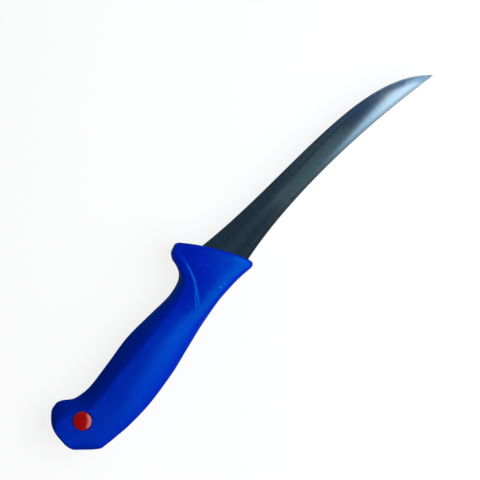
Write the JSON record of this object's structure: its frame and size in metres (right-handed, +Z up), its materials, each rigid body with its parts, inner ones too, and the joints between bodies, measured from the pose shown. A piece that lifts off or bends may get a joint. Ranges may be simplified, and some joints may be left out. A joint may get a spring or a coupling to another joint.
{
  "type": "curved boning knife",
  "caption": "Slim kitchen knife with an up-swept flexible blade and a moulded handle with a finger guard, for boning, trimming and carving meat.",
  "frame": {"origin": "on the surface that the knife lies on, under the middle of its box", "axes": "+X along the tang's centreline towards the point, +Y towards the cutting edge and the finger side of the handle, +Z up through the thickness"},
  "size_m": [0.2836, 0.0468, 0.0216],
  "materials": {
    "blade_steel": "satin stainless steel, ground across the blade, with a fine honed bevel",
    "core_plastic": "natural hard plastic, hidden inside the handle",
    "blue_plastic": "saturated blue moulded plastic with a fine satin texture",
    "red_plastic": "smooth red moulded plastic"
  },
  "bodies": {
    "root": {"blade": "blade_steel", "handle_core": "core_plastic", "handle_cover": "blue_plastic", "plug_front": "red_plastic", "plug_rear": "red_plastic"}
  },
  "joints": []
}
